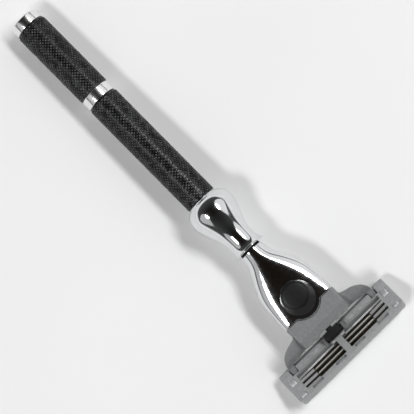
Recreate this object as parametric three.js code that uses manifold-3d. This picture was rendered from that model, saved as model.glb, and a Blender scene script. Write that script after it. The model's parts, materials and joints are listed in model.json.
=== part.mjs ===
// A cartridge razor: a straight handle of turned pieces on a tie rod, a hollow head with a sliding
// release button, and a three-blade cartridge that pivots in a plastic yoke.
//
// Millimetres. While it is built, the handle's axis is X, from its tail at x = 0 towards the head, and +Z is
// the side of the button. The cartridge has a frame of its own, with its origin on the pivot: +X runs from
// guard to cap, and +Z to its open back. At the end the whole razor is laid down, blades towards the surface.
import * as THREE from "three";
import { mergeVertices } from "three/addons/utils/BufferGeometryUtils.js";
import Module from "manifold-3d";

const wasm = await Module();
wasm.setup();

// ---- Driving dimensions ----

const seam = 0.05; // gap between pieces that are screwed up tight against each other
const slack = 0.25; // gap around pieces that slide or drop in

// Handle: lengths along the axis, and radii.
const capLength = 3.1;
const rearGripLength = 27.2;
const ringLength = 3.2;
const frontGripLength = 41.6;
const capRadius = 4.78;
const gripRadius = 5.03;
const ringRadius = 4.94;
const rodRadius = 2.5;
const rodBore = 2.6;
const edgeBreak = 0.3;

const rearGripStart = capLength + seam;
const ringStart = rearGripStart + rearGripLength + seam;
const frontGripStart = ringStart + ringLength + seam;
const ferruleStart = frontGripStart + frontGripLength + seam;

// Ferrule: a bulb, a waist and a flange.
const ferruleLength = 19.7;
const bulbRadius = 7.48;
const waistRadius = 4.35;
const flangeRadius = 5.3;
const ferruleEnd = ferruleStart + ferruleLength;
const studRadius = 2.2;
const studLength = 7;

// Head shell.
const gasketThickness = 1;
const neckRadius = 3.8;
const headStart = ferruleEnd + gasketThickness + 2 * seam;
const headLength = 23;
const headFront = headStart + headLength;
const headHalfWidth = 9.15;
const shellWall = 0.9;
const cavityStart = headStart + 7.5;
const tongueCentre = headFront - 3.8;
const tongueRadius = 5.9;
const tongueUnderside = 0.75;

// Release button and the slide under it.
const buttonTravel = 2.5;
const buttonFoot = { x: headFront - 4.2, radius: 5.2, z: 1.6 };
const buttonTop = { x: headFront - 5.2, radius: 4.2, z: 5.6 };
const stem = { from: headFront - 6.5, to: headFront - 4.1, halfWidth: 1.5 };
const bridge = { from: headFront - 8.3, to: headFront - 3.9, bottom: -0.45, top: 0.35 };
const prong = { inner: 4.95, outer: 5.9, bottom: -2.6, end: headFront - 0.15 };

// Insert in the head, with the snout that carries the yoke.
const nose = { from: headFront - 13.4, to: headFront - 0.3, halfWidth: 4.7, bottom: -3.5, top: -0.6 };
const snout = { to: headFront + 5.3, halfWidth: 3.9, bottom: -3.5, top: -0.5 };
const springChannel = { y: 2.9, halfWidth: 0.9, bottom: -2.1, from: headFront - 8.5, to: headFront - 1 };
const screwX = headFront - 11.1;

// Plunger that turns the cartridge back to rest.
const plungerZ = -2.1;
const plungerBore = 1.1;
const plungerRadius = 1.02;
const plungerBoreStart = headFront - 6.4;
const footLength = 2.8;
const footHalfWidth = 2.7;

// Cartridge, in its own frame.
const pivot = { x: headFront + 9.85, z: -6.9 };
const restTilt = THREE.MathUtils.degToRad(20);
const cartridgeHalfWidth = 20.7;
const blockInner = 17.3;
const windowEnd = 16.5;
const back = 1.8;
const face = -2.3;
const guardBar = { toe: -1.6, rear: -0.4, front: 1.8 };
const capBar = { lip: 6.5, rear: 7.6, front: 8.9, face: -2.45, lipThickness: 0.5 };
const chamfer = 0.3;
const bladePitch = 1.53;
const firstLeg = 4.25;
const bladeCount = 3;
const bladeHalfLength = 18.3;
const legTop = 0.9;
const legThickness = 0.3;
const legBend = -1.15;
const bladeTilt = THREE.MathUtils.degToRad(21.5);
const fingerTip = 11.4;
const ribHalfWidth = 1.05;
const cam = { x: 2.4, z: 1.2, radius: 0.5, halfWidth: 2.4 };
const pinRadius = 0.8;
const pinEnd = 18.6;
const clip = { rear: 1.45, front: 8.35, inner: 17.65, outer: 19.45, sheet: 0.25 };
const clipFold = { rear: 2.4, front: 1.15 };
const strip = { rear: 6.95, front: 8.55, seat: -2.05, face: -2.6, halfLength: 16.8 };
const fins = { first: -1.2, pitch: 0.55, count: 5, seat: -1.85, tip: -2.55, halfLength: 16.5 };

// Yoke.
const yokeBack = headFront + 0.15;
const yokeFront = headFront + 7.6;
const yokeTop = 1.4;
const yokeBottom = -4.3;
const armOuter = 16.85;
const armInner = 15.05;
const tipRadius = 1.2;
const sweepRadius = 2.15; // room round the pivot for the guard bar to swing through
const footRoom = headFront + 3.6; // the plunger's foot reaches back to here under a released yoke

// ---- Finishes ----

function finish(color, roughness, metalness) {
  return new THREE.MeshStandardMaterial({ color, roughness, metalness });
}
const chrome = () => finish("#dfe2e6", 0.06, 1);
const polished = () => finish("#d3d5d8", 0.22, 1);
const steel = () => finish("#9b9da0", 0.35, 1);
const blackCoat = () => finish("#1b1c1e", 0.45, 0.4);
const blackPlastic = () => finish("#141516", 0.55, 0);
const buttonPlastic = () => finish("#26282b", 0.6, 0);
const yokePlastic = () => finish("#85878a", 0.5, 0);
const housingPlastic = () => finish("#a0a2a5", 0.5, 0);
const finRubber = () => finish("#30373b", 0.75, 0);
const stripPolymer = () => finish("#a9cdbf", 0.6, 0);

// ---- Making and joining solids ----

// Turns a closed geometry into a solid, with its faces pointing out.
function solid(geometry) {
  const bare = geometry.clone();
  bare.deleteAttribute("normal");
  bare.deleteAttribute("uv");
  const merged = mergeVertices(bare, 1e-4);
  const vertProperties = merged.attributes.position.array;
  const build = (triVerts) => new wasm.Manifold(new wasm.Mesh({ numProp: 3, vertProperties, triVerts }));
  const made = build(new Uint32Array(merged.index.array));
  return made.volume() > 0 ? made : build(new Uint32Array(merged.index.array).reverse());
}

function geometryOf(made) {
  const mesh = made.getMesh();
  const geometry = new THREE.BufferGeometry();
  geometry.setAttribute("position", new THREE.BufferAttribute(mesh.vertProperties, 3));
  geometry.setIndex(new THREE.BufferAttribute(mesh.triVerts, 1));
  geometry.computeVertexNormals();
  return geometry;
}

function addPart(group, name, made, material) {
  const mesh = new THREE.Mesh(geometryOf(made), material);
  mesh.name = name;
  group.add(mesh);
}

const joined = (...solids) => solids.reduce((whole, next) => whole.add(next));
const without = (body, ...cutters) => cutters.reduce((whole, next) => whole.subtract(next), body);

function block(x0, x1, y0, y1, z0, z1) {
  const box = new THREE.BoxGeometry(x1 - x0, y1 - y0, z1 - z0);
  return solid(box.translate((x0 + x1) / 2, (y0 + y1) / 2, (z0 + z1) / 2));
}

// A piece turned about the X axis, from [x, radius] points that start and end on the axis or close.
function turned(points, segments = 36) {
  const lathe = new THREE.LatheGeometry(points.map(([x, r]) => new THREE.Vector2(r, x)), segments);
  return solid(lathe.rotateZ(-Math.PI / 2));
}

function rodAlongX(x0, x1, radius, y = 0, z = 0, segments = 24) {
  const rod = new THREE.CylinderGeometry(radius, radius, x1 - x0, segments).rotateZ(-Math.PI / 2);
  return solid(rod.translate((x0 + x1) / 2, y, z));
}

function rodAlongY(y0, y1, radius, x = 0, z = 0, segments = 24) {
  const rod = new THREE.CylinderGeometry(radius, radius, y1 - y0, segments);
  return solid(rod.translate(x, (y0 + y1) / 2, z));
}

function rodAlongZ(z0, z1, radius, x = 0, y = 0, segments = 24) {
  const rod = new THREE.CylinderGeometry(radius, radius, z1 - z0, segments).rotateX(Math.PI / 2);
  return solid(rod.translate(x, y, (z0 + z1) / 2));
}

const outline = (points) => new THREE.Shape(points.map(([u, v]) => new THREE.Vector2(u, v)));

// An outline in X and Y, raised from z0 to z1.
function plan(shape, z0, z1, curveSegments = 12) {
  const slab = new THREE.ExtrudeGeometry(shape, { depth: z1 - z0, bevelEnabled: false, curveSegments });
  return solid(slab.translate(0, 0, z0));
}

// An outline in X and Z, drawn out from y0 to y1.
function profile(shape, y0, y1, curveSegments = 12) {
  const slab = new THREE.ExtrudeGeometry(shape, { depth: y1 - y0, bevelEnabled: false, curveSegments });
  return solid(slab.rotateX(Math.PI / 2).translate(0, y1, 0));
}

const mirrored = (made) => joined(made, made.mirror([0, 1, 0]));

// A smooth function of x through a few [x, value] pairs.
function through(pairs) {
  const curve = new THREE.SplineCurve(pairs.map(([x, value]) => new THREE.Vector2(x, value)));
  return (x) => {
    let low = 0;
    let high = 1;
    for (let i = 0; i < 24; i += 1) {
      const middle = (low + high) / 2;
      if (curve.getPoint(middle).x < x) low = middle;
      else high = middle;
    }
    return curve.getPoint(low).y;
  };
}

// A round bar in the cylinder's own frame whose wall is moved out to section(x, angle).
function loft(x0, x1, steps, segments, section) {
  const tube = new THREE.CylinderGeometry(1, 1, 1, segments, steps);
  const points = tube.attributes.position;
  for (let i = 0; i < points.count; i += 1) {
    const x = THREE.MathUtils.lerp(x0, x1, points.getY(i) + 0.5);
    const reach = Math.hypot(points.getX(i), points.getZ(i));
    const [y, z] = section(x, Math.atan2(points.getZ(i), points.getX(i)));
    points.setXYZ(i, x, y * reach, z * reach);
  }
  return solid(tube);
}

class Helix extends THREE.Curve {
  constructor(length, radius, turns) {
    super();
    Object.assign(this, { length, radius, turns });
  }

  getPoint(t, target = new THREE.Vector3()) {
    const angle = t * this.turns * 2 * Math.PI;
    return target.set(t * this.length, this.radius * Math.cos(angle), this.radius * Math.sin(angle));
  }
}

function coilSpring(x0, x1, y, z, coilRadius, wireRadius, turns) {
  const wire = new THREE.Shape();
  wire.absarc(0, 0, wireRadius, 0, 2 * Math.PI);
  const path = new Helix(x1 - x0 - 2 * wireRadius, coilRadius, turns);
  const steps = turns * 9;
  const options = { steps, extrudePath: path, curveSegments: 2, bevelEnabled: false };
  const spring = new THREE.ExtrudeGeometry(wire, options);
  return solid(spring.translate(x0 + wireRadius, y, z));
}

// ---- Handle ----

function sleeve(from, length, radius) {
  const to = from + length;
  return turned([
    [from, rodBore],
    [from, radius - edgeBreak],
    [from + edgeBreak, radius],
    [to - edgeBreak, radius],
    [to, radius - edgeBreak],
    [to, rodBore],
    [from, rodBore],
  ]);
}

function endCap() {
  const bottom = 1;
  return turned([
    [0, 0],
    [0, capRadius - edgeBreak],
    [edgeBreak, capRadius],
    [capLength, capRadius],
    [capLength, rodBore],
    [bottom, rodBore],
    [bottom, 0],
  ]);
}

function tieRod() {
  return rodAlongX(1.2, ferruleStart + 8.5, rodRadius, 0, 0, 32);
}

function ferrule() {
  const at = (share) => ferruleStart + share * ferruleLength;
  const outside = new THREE.SplineCurve(
    [
      [at(0.01), gripRadius + 0.25],
      [at(0.045), 6.2],
      [at(0.13), 7.05],
      [at(0.23), bulbRadius],
      [at(0.36), 6.95],
      [at(0.51), 5.85],
      [at(0.66), 4.75],
      [at(0.83), waistRadius],
      [at(0.94), 4.7],
      [at(0.985), 5.15],
    ].map(([x, r]) => new THREE.Vector2(x, r)),
  );
  const wall = outside.getPoints(18).map((p) => [p.x, p.y]);
  return turned([
    [ferruleStart + 8.7, 0],
    [ferruleStart + 8.7, rodBore],
    [ferruleStart, rodBore],
    [ferruleStart, gripRadius + 0.2],
    ...wall,
    [at(0.985), flangeRadius],
    [ferruleEnd, flangeRadius],
    [ferruleEnd, studRadius + 0.1],
    [ferruleEnd - studLength - 0.3, studRadius + 0.1],
    [ferruleEnd - studLength - 0.3, 0],
  ]);
}

function neckGasket() {
  const from = ferruleEnd + seam;
  const to = from + gasketThickness;
  const inner = studRadius + 0.1;
  const outer = neckRadius - 0.35;
  return turned([[from, inner], [from, outer], [to, outer], [to, inner], [from, inner]]);
}

// ---- Head ----

const headWidthAt = through([
  [headStart, neckRadius],
  [headStart + 3.3, 4.5],
  [headStart + 5.4, 5.6],
  [headStart + 9.1, 7.4],
  [headStart + 12.5, 8.5],
  [headStart + 16.8, 9],
  [headStart + 26, headHalfWidth],
]);
const headTopAt = through([
  [headStart, neckRadius],
  [headStart + 5, 3.9],
  [headStart + 10, 3.6],
  [headStart + 16, 2.8],
  [headStart + 26, 1.5],
]);
const headBottomAt = through([
  [headStart, neckRadius],
  [headStart + 5, 4.2],
  [headStart + 10, 4.65],
  [headStart + 16, 4.95],
  [headStart + 26, 4.9],
]);

// The head's cross-section, drawn in by inset: an ellipse at the neck that grows squarer to the front.
function headSection(inset) {
  return (x, angle) => {
    const power = THREE.MathUtils.mapLinear(x, headStart, headFront, 2, 2.7);
    const squared = (value) => Math.sign(value) * Math.abs(value) ** (2 / power);
    const height = angle > 0 ? headTopAt(x) : headBottomAt(x);
    return [(headWidthAt(x) - inset) * squared(Math.cos(angle)), (height - inset) * squared(Math.sin(angle))];
  };
}

function headShell() {
  const outside = loft(headStart, headFront + 2.3, 18, 40, headSection(0));
  const cavity = loft(cavityStart, headFront + 3, 9, 28, headSection(shellWall));
  const stud = rodAlongX(ferruleEnd - studLength, headStart + 1, studRadius);
  const tongue = rodAlongZ(tongueUnderside, 9, tongueRadius, tongueCentre, 0, 48);
  const openFront = without(block(headFront, headFront + 4, -12, 12, -9, 9), tongue);
  const gap = 0.2;
  const halfSlot = stem.halfWidth + gap;
  const slot = block(stem.from - gap, stem.to + buttonTravel + gap, -halfSlot, halfSlot, 0, 9);
  const screwHole = rodAlongZ(-9, -2, 0.95, screwX);
  const screwSeat = rodAlongZ(-9, -4.3, 1.65, screwX);
  return without(joined(outside, stud), cavity, openFront, slot, screwHole, screwSeat);
}

function connectorNose() {
  const room = loft(cavityStart, headFront + 3, 9, 28, headSection(shellWall + slack));
  const { halfWidth } = nose;
  const body = block(nose.from, nose.to, -halfWidth, halfWidth, nose.bottom, nose.top).intersect(room);
  const neck = block(nose.to - 0.1, snout.to, -snout.halfWidth, snout.halfWidth, snout.bottom, snout.top);
  const boss = rodAlongZ(-3.65, nose.bottom + 0.5, 1.8, screwX);
  const bore = rodAlongX(plungerBoreStart, snout.to + 1, plungerBore, 0, plungerZ);
  const { y, halfWidth: half, bottom, from, to } = springChannel;
  const channels = mirrored(block(from, to, y - half, y + half, bottom, 1));
  const catches = mirrored(block(snout.to - 3.8, snout.to - 0.2, snout.halfWidth - 0.4, 6, -2.9, -1.1));
  return without(joined(body, neck, boss), bore, channels, catches, rodAlongZ(-9, -1.2, 0.9, screwX));
}

function noseScrew() {
  const head = rodAlongZ(-4.75, -4.35, 1.5, screwX);
  const shank = rodAlongZ(-4.4, -1.4, 0.8, screwX);
  const drive = block(screwX - 1.2, screwX + 1.2, -0.2, 0.2, -5, -4.6);
  return without(joined(head, shank), drive);
}

// ---- Release button ----

// The button leans back: its foot is wider than its top and lies further forward.
function releaseButton() {
  const rim = buttonTop.z;
  const { radius } = buttonTop;
  const dish = [
    [0, buttonFoot.z],
    [buttonFoot.radius, buttonFoot.z],
    [buttonFoot.radius - 0.1, buttonFoot.z + 0.5],
    [radius + 0.1, rim - 0.35],
    [radius, rim - 0.1],
    [radius - 0.25, rim],
    [radius - 0.5, rim - 0.05],
    [radius - 0.75, rim - 0.3],
    [radius * 0.5, rim - 0.5],
    [0, rim - 0.55],
  ];
  const lathe = new THREE.LatheGeometry(dish.map(([r, z]) => new THREE.Vector2(r, z)), 36);
  lathe.rotateX(Math.PI / 2);
  const lean = (buttonTop.x - buttonFoot.x) / (buttonTop.z - buttonFoot.z);
  const shear = new THREE.Matrix4().makeShear(0, 0, 0, 0, lean, 0);
  lathe.applyMatrix4(shear).translate(buttonFoot.x - lean * buttonFoot.z, 0, 0);
  const below = loft(headStart, headFront + 4, 18, 40, headSection(-0.12));
  const { from, to, halfWidth } = stem;
  const post = block(from, to, -halfWidth, halfWidth, bridge.bottom + 0.05, buttonFoot.z + 1.5);
  return joined(without(solid(lathe), below), post);
}

function ejectorFork() {
  const { from, to, bottom, top } = bridge;
  const plate = block(from, to, -prong.outer, prong.outer, bottom, top);
  const prongs = mirrored(block(from, prong.end, prong.inner, prong.outer, prong.bottom, top));
  const ribReach = springChannel.halfWidth - 0.2;
  const { y } = springChannel;
  const ribs = mirrored(block(from, from + 0.8, y - ribReach, y + ribReach, springChannel.bottom + 0.2, top));
  const gap = 0.05;
  const socket = block(stem.from - gap, stem.to + gap, -stem.halfWidth - gap, stem.halfWidth + gap, -2, 2);
  return without(joined(plate, prongs, ribs), socket);
}

function buttonSpring(side) {
  const from = bridge.from + 0.8 + seam;
  return coilSpring(from, springChannel.to - seam, side * springChannel.y, -1.35, 0.56, 0.13, 8);
}

// ---- Plunger ----

const camRest = new THREE.Vector2(cam.x, cam.z).rotateAround(new THREE.Vector2(), restTilt);
const plungerTip = pivot.x + camRest.x - cam.radius - 0.09;

function plunger() {
  const footBack = plungerTip - footLength;
  const round = 0.8;
  const foot = new THREE.Shape();
  foot.moveTo(footBack, pivot.z + 1.1 + round);
  foot.absarc(footBack + round, pivot.z + 1.1 + round, round, Math.PI, 1.5 * Math.PI);
  foot.lineTo(plungerTip, pivot.z + 1.1);
  foot.lineTo(plungerTip, plungerZ + 0.7 - round);
  foot.absarc(plungerTip - round, plungerZ + 0.7 - round, round, 0, Math.PI / 2);
  foot.lineTo(footBack, plungerZ + 0.7);
  const shank = rodAlongX(plungerBoreStart + 4, footBack + 0.5, plungerRadius, 0, plungerZ);
  return joined(profile(foot, -footHalfWidth, footHalfWidth, 4), shank);
}

function plungerSpring() {
  return coilSpring(plungerBoreStart + seam, plungerBoreStart + 4 - seam, 0, plungerZ, 0.78, 0.15, 6);
}

// ---- Yoke ----

// Seen from above: the base, a hollow corner on each side, and two arms that curve out and forward.
function yokeOutline() {
  const shoulder = headFront + 2.3;
  const tipFront = pivot.x + tipRadius;
  const shape = new THREE.Shape();
  shape.moveTo(yokeBack, -headHalfWidth);
  shape.lineTo(yokeBack, headHalfWidth);
  shape.lineTo(shoulder, headHalfWidth);
  shape.splineThru(
    [
      [shoulder + 0.7, headHalfWidth + 0.4],
      [shoulder + 1.15, 11],
      [shoulder + 1.7, 13.1],
      [shoulder + 2.9, 15.1],
      [shoulder + 4.6, 16.4],
      [shoulder + 6.4, armOuter],
    ].map(([x, y]) => new THREE.Vector2(x, y)),
  );
  shape.lineTo(tipFront, armOuter);
  shape.lineTo(tipFront, armInner);
  shape.lineTo(pivot.x - 1.4, armInner - 0.2);
  shape.lineTo(yokeFront + 0.3, armInner - 1);
  shape.lineTo(yokeFront, 10);
  shape.lineTo(yokeFront, 0);
  const half = shape.getPoints(5);
  const rightSide = half.filter((p) => p.y > 0).map((p) => [p.x, p.y]);
  const leftSide = rightSide.map(([x, y]) => [x, -y]).reverse();
  return outline([...rightSide, ...leftSide]);
}

// Seen from the side: the arms drop from the base to the pivot and end round it. Near the pivot their upper
// edge is a straight 30 degree slope, low enough for the guard bar to swing up over it.
function armProfile() {
  const drop = THREE.MathUtils.degToRad(30);
  const slopeLength = 2.3;
  const onSlope = (back) => [
    pivot.x + tipRadius * Math.sin(drop) - back * Math.cos(drop),
    pivot.z + tipRadius * Math.cos(drop) + back * Math.sin(drop),
  ];
  const shape = new THREE.Shape();
  shape.moveTo(yokeBack, yokeTop - 0.5);
  shape.bezierCurveTo(headFront + 7, yokeTop - 0.7, ...onSlope(slopeLength + 1.2), ...onSlope(slopeLength));
  shape.lineTo(...onSlope(0));
  shape.absarc(pivot.x, pivot.z, tipRadius, Math.PI / 2 - drop, -Math.PI / 2, true);
  shape.quadraticCurveTo(headFront + 6.5, pivot.z - tipRadius, yokeBack, yokeBottom + 0.3);
  return shape;
}

function yokeBaseProfile() {
  return outline([
    [yokeBack, yokeBottom],
    [yokeBack, yokeTop],
    [headFront + 5.2, yokeTop],
    [yokeFront, yokeTop - 1.8],
    [yokeFront, pivot.z + 2.1],
    [yokeFront - 1.5, yokeBottom],
  ]);
}

function yoke() {
  const whole = plan(yokeOutline(), -12, 4);
  const arms = profile(armProfile(), -armOuter, armOuter, 8).intersect(whole);
  const base = profile(yokeBaseProfile(), -headHalfWidth + 0.4, headHalfWidth - 0.4);
  const edgeBottom = yokeBottom + 0.3;
  const edgeTop = yokeTop - 0.3;
  const backEdge = block(yokeBack, yokeBack + 2.5, -headHalfWidth, headHalfWidth, edgeBottom, edgeTop);
  const pins = mirrored(rodAlongY(armInner, pinEnd, pinRadius, pivot.x, pivot.z));
  const gap = 0.15;
  const { halfWidth, bottom, top } = snout;
  const side = halfWidth + gap;
  const passage = block(yokeBack - 1, snout.to + gap, -side, side, bottom - gap, top + gap);
  const seat = rodAlongZ(tongueUnderside - 0.2, 9, tongueRadius + slack, tongueCentre, 0, 48);
  const footGap = footHalfWidth + 0.4;
  const roof = plungerZ + plungerRadius + 0.15; // the plunger's shank passes under this
  const window = block(snout.to, yokeFront + 3, -footGap, footGap, -12, roof);
  const footNotch = block(footRoom, yokeFront + 3, -footGap, footGap, -12, snout.bottom);
  const swing = rodAlongY(-armInner + 0.1, armInner - 0.1, sweepRadius, pivot.x, pivot.z, 32);
  const snap = mirrored(block(yokeBack + 1.4, yokeBack + 2.2, halfWidth - 0.25, halfWidth + 0.5, -2.7, -1.3));
  const teeth = mirrored(joined(tooth(4.3), tooth(7)));
  const plastic = joined(arms, base, backEdge);
  return joined(without(plastic, passage, seat, window, footNotch, swing), snap, teeth, pins);
}

function tooth(y) {
  const half = 0.65;
  return block(yokeFront - 1, yokeFront + 0.3, y - half, y + half, yokeTop - 3, yokeTop - 1.6);
}

// ---- Cartridge ----

function guardBarProfile() {
  const { toe, rear, front } = guardBar;
  return outline([
    [toe, face],
    [front - chamfer, face],
    [front, face + 1.1],
    [front, back],
    [rear, back],
    [toe, chamfer],
  ]);
}

function capBarProfile() {
  const { lip, rear, front, face: capFace, lipThickness } = capBar;
  return outline([
    [lip, capFace],
    [front, capFace],
    [front, back - chamfer],
    [front - chamfer, back],
    [rear, back],
    [rear, face + 0.8],
    [lip, capFace + lipThickness],
  ]);
}

function housing() {
  const barLength = blockInner + 0.1;
  const guard = profile(guardBarProfile(), -barLength, barLength);
  const cap = profile(capBarProfile(), -barLength, barLength);
  const rib = block(cam.x, capBar.rear + 0.2, -ribHalfWidth, ribHalfWidth, legTop + 0.4, back);
  const ends = mirrored(endBlock());
  const plungerGap = footHalfWidth + 0.5;
  const plungerRoom = block(-3, cam.x - 0.55, -plungerGap, plungerGap, 0.3, 4);
  const armRoom = mirrored(block(-3, 1.35, armInner - 0.3, blockInner, -1.45, 4));
  const pinHoles = mirrored(rodAlongY(blockInner - 1, pinEnd + 0.3, pinRadius + 0.06));
  const finGap = fins.halfLength + 0.1;
  const finSeat = block(-1.5, guardBar.front - 0.5, -finGap, finGap, -4, fins.seat + 0.05);
  const stripGap = strip.halfLength + 0.1;
  const stripSeat = block(strip.rear - 0.05, strip.front + 0.05, -stripGap, stripGap, -4, strip.seat + 0.05);
  const rinseSlots = mirrored(joined(rinseSlot(1.8, 5.8), rinseSlot(11, 15.2)));
  const bosses = mirrored(joined(boss(5.2), boss(8.9)));
  const bars = joined(guard, cap, ends);
  const frame = without(bars, plungerRoom, armRoom, pinHoles, finSeat, stripSeat, rinseSlots);
  return joined(frame, rib, ...camFollower(), bosses, ...springFingers());
}

// The rounded edge behind the guard bar that the plunger presses on, and the web that carries it.
function camFollower() {
  const { x, z, radius, halfWidth } = cam;
  const web = block(guardBar.front - 0.6, x + 0.4, -halfWidth, halfWidth, -1, 0.3);
  const lug = block(x - 0.35, x + 0.4, -halfWidth, halfWidth, -1, z);
  return [web, lug, rodAlongY(-halfWidth, halfWidth, radius, x, z)];
}

function endBlock() {
  const round = 1.2;
  const heel = -1.9;
  const { front } = capBar;
  const shape = new THREE.Shape();
  shape.moveTo(heel, blockInner);
  shape.lineTo(heel, cartridgeHalfWidth - round);
  shape.absarc(heel + round, cartridgeHalfWidth - round, round, Math.PI, Math.PI / 2, true);
  shape.lineTo(front - round, cartridgeHalfWidth);
  shape.absarc(front - round, cartridgeHalfWidth - round, round, Math.PI / 2, 0, true);
  shape.lineTo(front, blockInner);
  const heelRadius = -heel;
  const side = new THREE.Shape();
  side.moveTo(front, face);
  side.lineTo(front, back - chamfer);
  side.lineTo(front - chamfer, back);
  side.lineTo(0, back);
  side.absarc(0, back - heelRadius, heelRadius, Math.PI / 2, 1.25 * Math.PI);
  side.lineTo(-1, face);
  const body = plan(shape, -5, 5, 6).intersect(profile(side, 0, 30, 8));
  const inner = block(guardBar.front - 0.4, capBar.rear + 0.1, windowEnd, blockInner + 0.1, -1.9, back);
  const pocket = block(1.95, capBar.rear + 0.05, windowEnd - 1, bladeHalfLength + 0.3, -5, legTop + 0.15);
  return without(joined(body, inner), pocket, ...clipSlots());
}

function clipSlots() {
  const gap = 0.05;
  const { rear, front, inner, outer, sheet } = clip;
  const slot = (x) => block(x - gap, x + sheet + 2 * gap, inner - gap, outer + gap, -5, 5);
  return [slot(rear), slot(front - sheet - gap)];
}

function rinseSlot(y0, y1) {
  return block(7.85, 8.45, y0, y1, back - 0.7, 4);
}

function boss(y) {
  const x = 0.8;
  const half = 0.7;
  const height = 0.2;
  const pad = block(x - half, x + half, y - half - 0.1, y + half + 0.1, back - 0.1, back + height);
  return without(pad, rodAlongZ(back, back + 1, half / 2, x, y));
}

const legX = (index) => firstLeg + index * bladePitch;

// Two fingers over each blade, one from either end, that slope down to the blade's leg.
function springFingers() {
  const width = 0.75;
  const root = windowEnd + 0.2;
  const thickness = 0.35;
  const low = legTop + 0.15;
  const shape = outline([[root, back - 0.55], [root, back], [fingerTip, low + thickness], [fingerTip, low]]);
  const slab = new THREE.ExtrudeGeometry(shape, { depth: width, bevelEnabled: false });
  const finger = solid(slab.rotateX(Math.PI / 2).rotateZ(Math.PI / 2).translate(-width / 2, 0, 0));
  return Array.from({ length: bladeCount }, (_, i) => mirrored(finger.translate([legX(i), 0, 0])));
}

// A strip bent along its length: a leg that stands up and a shelf that slopes down to the guard side. Beyond
// the fingers' tips the leg is lower.
function bladeSupport(index) {
  const x = legX(index);
  const half = legThickness / 2;
  const shelf = 1.35;
  const drop = shelf * Math.tan(bladeTilt);
  const shape = outline([
    [x + half, legTop],
    [x - half, legTop],
    [x - half, legBend + 0.1],
    [x - shelf, legBend - drop + 0.2],
    [x - shelf, legBend - drop - 0.02],
    [x - 0.1, legBend - 0.02],
    [x + half, legBend + 0.2],
  ]);
  const body = profile(shape, -bladeHalfLength, bladeHalfLength);
  const lowered = mirrored(block(x - 1, x + 1, fingerTip - 0.4, 30, legTop - 0.3, 4));
  return without(body, lowered);
}

function blade(index) {
  const thickness = 0.12;
  const length = 2.1;
  const gap = 0.03;
  const shape = outline([[0, 0], [-length + 0.25, 0], [-length, -thickness], [0, -thickness]]);
  const slab = profile(shape, -bladeHalfLength, bladeHalfLength);
  const degrees = THREE.MathUtils.radToDeg(bladeTilt);
  return slab.rotate([0, -degrees, 0]).translate([legX(index) - 0.2, 0, legBend - 0.1 - gap]);
}

// A metal strip across the blades' ends, with both legs pushed through the housing and folded on its back.
function endClip(side) {
  const { rear, front, inner, outer, sheet } = clip;
  const under = face - 0.05;
  const over = back + 0.05;
  const along = (x0, x1, z0, z1) => block(x0, x1, inner, outer, z0, z1);
  const whole = joined(
    along(rear, front, under - sheet, under),
    along(rear, rear + sheet, under - sheet, over + sheet),
    along(front - sheet, front, under - sheet, over + sheet),
    along(rear, rear + clipFold.rear, over, over + sheet),
    along(front - clipFold.front, front, over, over + sheet),
  );
  return side > 0 ? whole : whole.mirror([0, 1, 0]);
}

function lubricatingStrip() {
  const { rear, front, seat, face: top, halfLength } = strip;
  const edge = top + 0.15;
  const shape = outline([
    [rear, seat],
    [front, seat],
    [front, edge],
    [front - 0.25, top],
    [rear + 0.25, top],
    [rear, edge],
  ]);
  return profile(shape, -halfLength, halfLength);
}

// Fins parallel to the blades, standing on one strip of rubber.
function guardFins() {
  const { first, pitch, count, seat, tip, halfLength } = fins;
  const base = seat - 0.35;
  const sheet = block(first - 0.25, first + 0.25 + (count - 1) * pitch, -halfLength, halfLength, base, seat);
  const foot = 0.16;
  const crest = 0.07;
  const ridges = Array.from({ length: count }, (_, i) => {
    const x = first + i * pitch;
    const root = base + 0.1;
    const shape = outline([[x - foot, root], [x + foot, root], [x + crest, tip], [x - crest, tip]]);
    return profile(shape, -halfLength, halfLength);
  });
  return joined(sheet, ...ridges);
}

// ---- Assembly ----

function assembleHandle(razor) {
  addPart(razor, "end_cap", endCap(), polished());
  addPart(razor, "rear_grip", sleeve(rearGripStart, rearGripLength, gripRadius), blackCoat());
  addPart(razor, "middle_ring", sleeve(ringStart, ringLength, ringRadius), polished());
  addPart(razor, "front_grip", sleeve(frontGripStart, frontGripLength, gripRadius), blackCoat());
  addPart(razor, "tie_rod", tieRod(), steel());
  addPart(razor, "ferrule", ferrule(), chrome());
  addPart(razor, "neck_gasket", neckGasket(), blackPlastic());
}

function assembleHead(razor) {
  addPart(razor, "head_shell", headShell(), chrome());
  addPart(razor, "connector_nose", connectorNose(), blackPlastic());
  addPart(razor, "nose_screw", noseScrew(), steel());
  addPart(razor, "release_button", releaseButton(), buttonPlastic());
  addPart(razor, "ejector_fork", ejectorFork(), blackPlastic());
  addPart(razor, "button_spring_left", buttonSpring(1), steel());
  addPart(razor, "button_spring_right", buttonSpring(-1), steel());
  addPart(razor, "plunger", plunger(), blackPlastic());
  addPart(razor, "plunger_spring", plungerSpring(), steel());
  addPart(razor, "yoke", yoke(), yokePlastic());
}

function assembleCartridge(razor) {
  const cartridge = new THREE.Group();
  cartridge.position.set(pivot.x, 0, pivot.z);
  cartridge.rotation.y = -restTilt;
  addPart(cartridge, "cartridge_housing", housing(), housingPlastic());
  for (let i = 0; i < bladeCount; i += 1) {
    addPart(cartridge, `blade_support_${i + 1}`, bladeSupport(i), steel());
    addPart(cartridge, `blade_${i + 1}`, blade(i), steel());
  }
  addPart(cartridge, "end_clip_left", endClip(1), polished());
  addPart(cartridge, "end_clip_right", endClip(-1), polished());
  addPart(cartridge, "lubricating_strip", lubricatingStrip(), stripPolymer());
  addPart(cartridge, "guard_fins", guardFins(), finRubber());
  razor.add(cartridge);
}

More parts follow.
